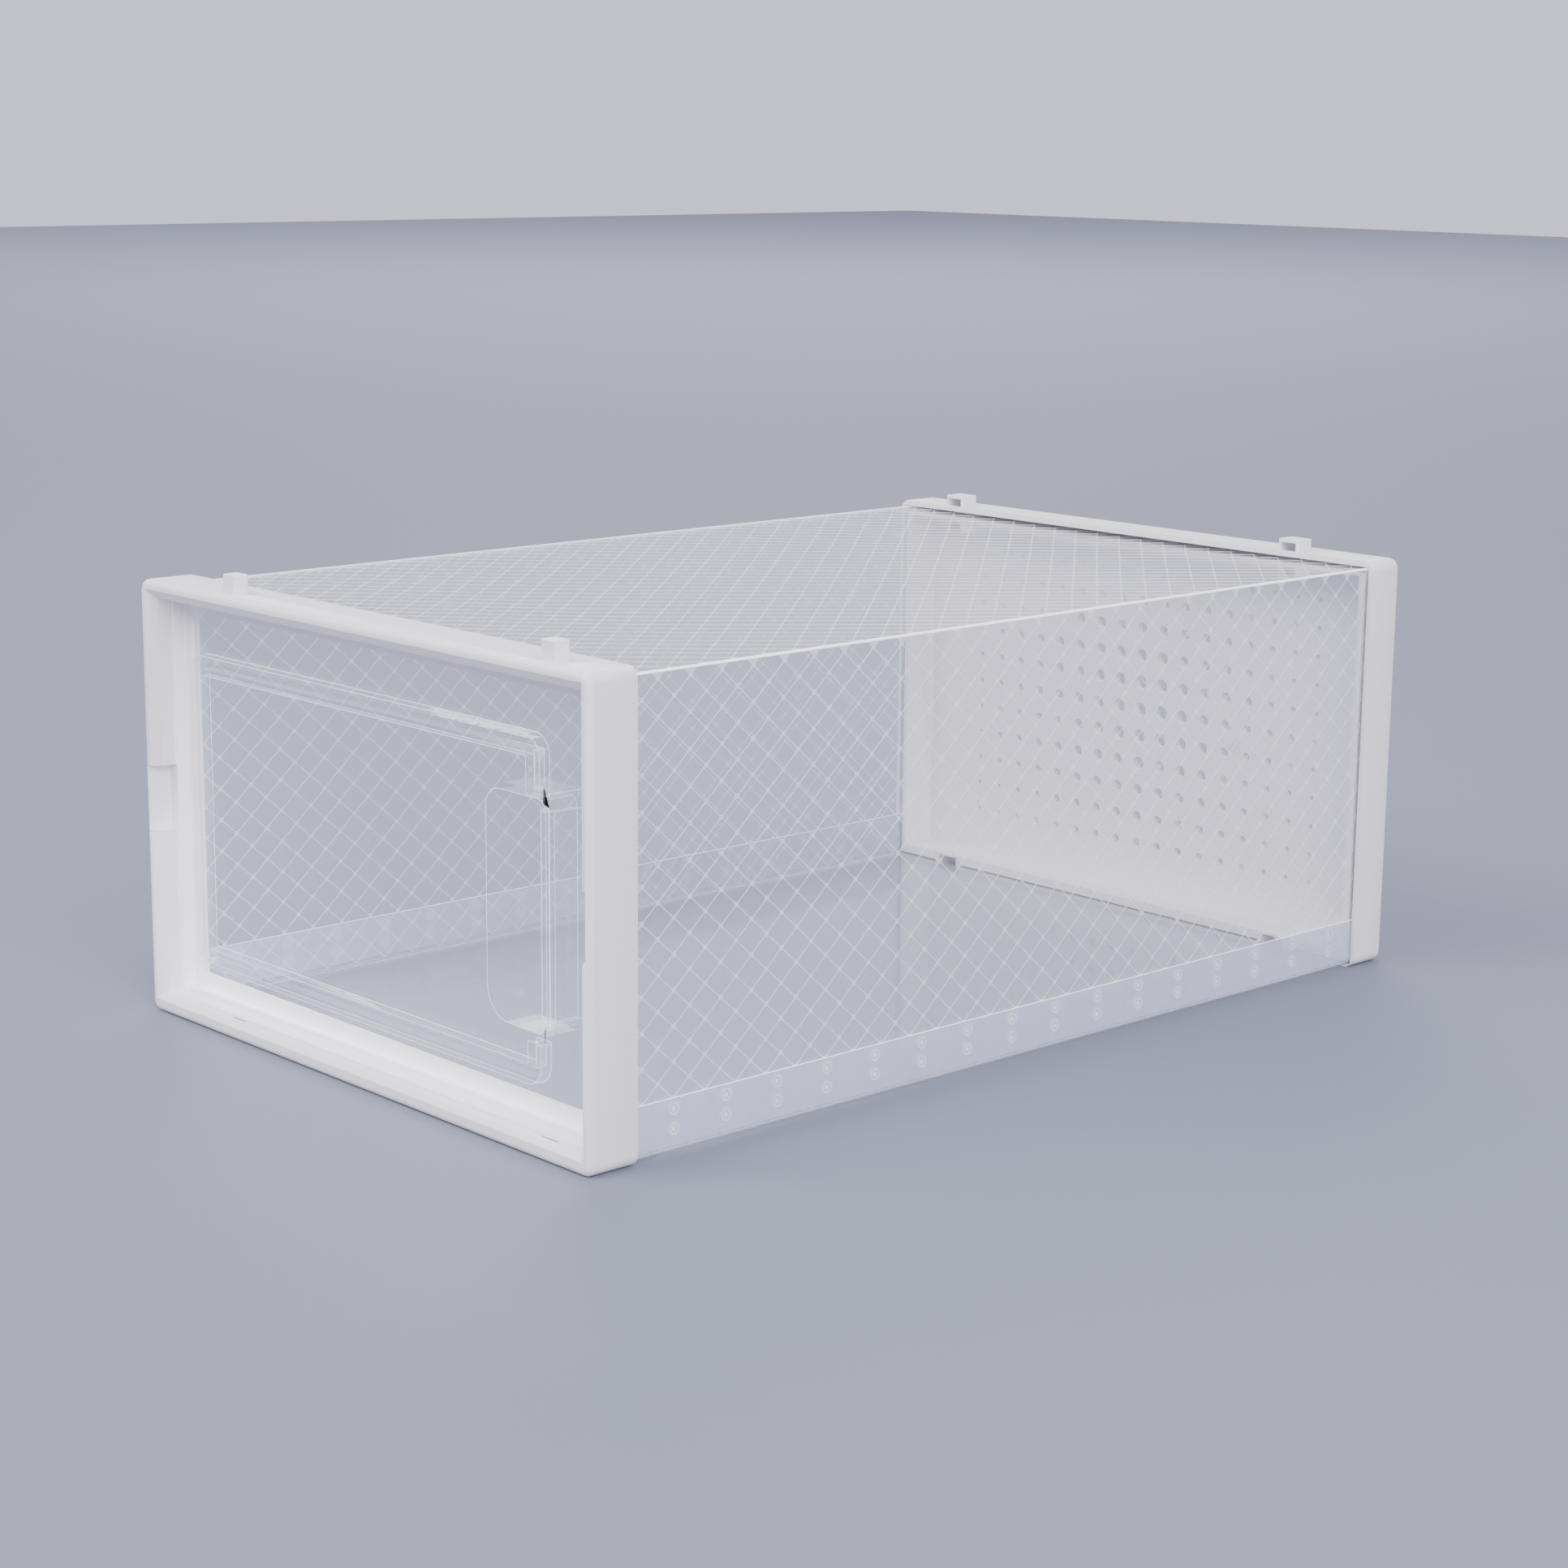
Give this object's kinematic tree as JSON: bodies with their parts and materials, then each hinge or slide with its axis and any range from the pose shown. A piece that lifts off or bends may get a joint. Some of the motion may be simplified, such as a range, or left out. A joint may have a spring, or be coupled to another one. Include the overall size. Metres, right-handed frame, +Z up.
{
  "type": "shoe box",
  "caption": "Side-opening folding shoe box: white front frame with a clear hinged door, clear diamond-embossed sleeve and a vented white rear panel.",
  "frame": {"origin": "middle of the footprint, on the surface the box stands on", "axes": "X to the right along the front, Y from the front (door) to the rear panel, Z up"},
  "size_m": [0.215, 0.34, 0.1409],
  "materials": {
    "white_plastic": "satin moulded polypropylene",
    "clear_door": "clear glossy moulding",
    "clear_sheet": "clear sheet, embossed on the wrap",
    "weld": "hazy melted spots"
  },
  "bodies": {
    "sleeve": {"top_sheet": "clear_sheet", "bottom_sheet": "clear_sheet", "bottom_tongues": "clear_sheet", "weld_spots_left": "weld", "weld_spots_right": "weld"},
    "front": {"front_frame": "white_plastic"},
    "door": {"door": "clear_door"},
    "rear": {"rear_wall": "white_plastic", "rear_arch": "white_plastic", "rear_sill": "white_plastic", "rear_sockets": "white_plastic", "rear_clips": "white_plastic"}
  },
  "joints": [
    {"name": "front_pull", "type": "slide", "parent": "sleeve", "child": "front", "axis": [0, -1, 0], "range_m": [0, 0.03]},
    {"name": "rear_pull", "type": "slide", "parent": "sleeve", "child": "rear", "axis": [0, 1, 0], "range_m": [0, 0.03]},
    {"name": "door_hinge", "type": "hinge", "parent": "front", "child": "door", "pos_m": [-0.0994, -0.1618, 0.0675], "axis": [0, 0, -1], "range_deg": [0, 100]}
  ]
}
